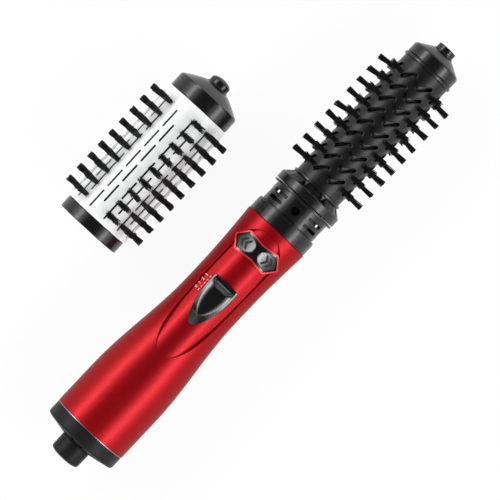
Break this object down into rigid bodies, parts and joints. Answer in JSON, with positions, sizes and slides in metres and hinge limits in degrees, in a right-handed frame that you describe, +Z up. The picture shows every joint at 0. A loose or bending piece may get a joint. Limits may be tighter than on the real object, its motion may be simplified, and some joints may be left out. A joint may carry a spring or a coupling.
{
  "type": "rotating hot-air styling brush",
  "caption": "Hand-held hot-air hair-styling brush with a red waisted handle, thumb slider, direction buttons and a motor-turned round bristle head, with a thicker spare head beside it.",
  "frame": {"origin": "middle of the whole object's plan, on the surface that both heads lie on", "axes": "+X along the styler from its cord end to its tip, +Y from the styler towards the second head, +Z up through the buttons"},
  "size_m": [0.3298, 0.1396, 0.0587],
  "materials": {
    "red_lacquer": "satin metallic red lacquer",
    "black_plastic": "semi-gloss black moulding",
    "gloss_black": "polished black moulding",
    "dark_silver": "dark silver metallic paint",
    "white_enamel": "satin white",
    "black_bristle": "black nylon bristle",
    "steel": "bright sheet and wire",
    "brass": "machined",
    "motor_grey": "plated can",
    "mica": "mica sheet",
    "board_green": "solder-masked board"
  },
  "bodies": {
    "handle": {"front_shell": "red_lacquer", "back_shell": "red_lacquer", "shell_screw_1": "steel", "shell_screw_2": "steel", "rear_cap": "black_plastic", "intake_screen": "steel", "fan_motor": "motor_grey", "motor_bracket": "black_plastic", "gear_plate": "black_plastic", "gear_motor": "motor_grey", "rear_bush": "brass", "front_bush": "brass", "bearing_spider": "black_plastic", "front_ring": "black_plastic", "collar": "black_plastic", "heater_sleeve": "steel", "heater_frame": "mica", "heater_coil": "steel", "thermostat": "brass", "control_board": "board_green", "slide_switch": "motor_grey", "left_tact_switch": "motor_grey", "right_tact_switch": "motor_grey", "button_bezel": "gloss_black"},
    "gland": {"cord_gland": "black_plastic", "gland_clip": "steel"},
    "slider": {"switch_slider": "gloss_black"},
    "left_key": {"left_button": "dark_silver"},
    "right_key": {"right_button": "dark_silver"},
    "fan": {"fan_impeller": "black_plastic"},
    "pinion": {"motor_pinion": "brass"},
    "drive": {"drive_gear": "black_plastic", "drive_shaft": "steel", "drive_hub": "black_plastic", "hub_screw": "steel"},
    "brush_head": {"head_base": "black_plastic", "head_barrel": "black_plastic", "heat_tube": "steel", "bristle_strip_1": "black_bristle", "bristle_strip_2": "black_bristle", "bristle_strip_3": "black_bristle", "bristle_strip_4": "black_bristle", "bristle_strip_5": "black_bristle", "bristle_strip_6": "black_bristle", "bristle_strip_7": "black_bristle", "bristle_strip_8": "black_bristle", "end_ring": "black_plastic", "end_cap": "black_plastic", "tip_knob": "black_plastic"},
    "spare_head": {"spare_base": "black_plastic", "spare_barrel": "white_enamel", "spare_tube": "steel", "spare_bristles_1": "black_bristle", "spare_bristles_2": "black_bristle", "spare_bristles_3": "black_bristle", "spare_cap": "black_plastic", "spare_knob": "black_plastic"}
  },
  "joints": [
    {"name": "gland_swivel", "type": "hinge", "parent": "handle", "child": "gland", "pos_m": [-0.15907, -0.04259, 0.0272], "axis": [1, 0, 0], "continuous": true},
    {"name": "switch_slide", "type": "slide", "parent": "handle", "child": "slider", "axis": [1, 0, 0], "range_m": [0, 0.007]},
    {"name": "left_button_press", "type": "slide", "parent": "handle", "child": "left_key", "axis": [0, 0, -1], "range_m": [0, 0.0012], "stiffness_N_per_m": 400},
    {"name": "right_button_press", "type": "slide", "parent": "handle", "child": "right_key", "axis": [0, 0, -1], "range_m": [0, 0.0012], "stiffness_N_per_m": 400},
    {"name": "fan_spin", "type": "hinge", "parent": "handle", "child": "fan", "pos_m": [-0.12687, -0.04259, 0.0272], "axis": [1, 0, 0], "continuous": true},
    {"name": "brush_spin", "type": "hinge", "parent": "handle", "child": "drive", "pos_m": [0.04533, -0.04259, 0.0272], "axis": [1, 0, 0], "continuous": true},
    {"name": "pinion_spin", "type": "hinge", "parent": "handle", "child": "pinion", "pos_m": [-0.04652, -0.04259, 0.0173], "axis": [1, 0, 0], "continuous": true},
    {"name": "head_pull", "type": "slide", "parent": "drive", "child": "brush_head", "axis": [1, 0, 0], "range_m": [0, 0.03]},
    {"name": "spare_lift", "type": "slide", "parent": "handle", "child": "spare_head", "axis": [0, 0, 1], "range_m": [0, 0.1]}
  ],
  "couplings": [
    {"joint": "pinion_spin", "follows": "brush_spin", "ratio": -2.6667}
  ]
}
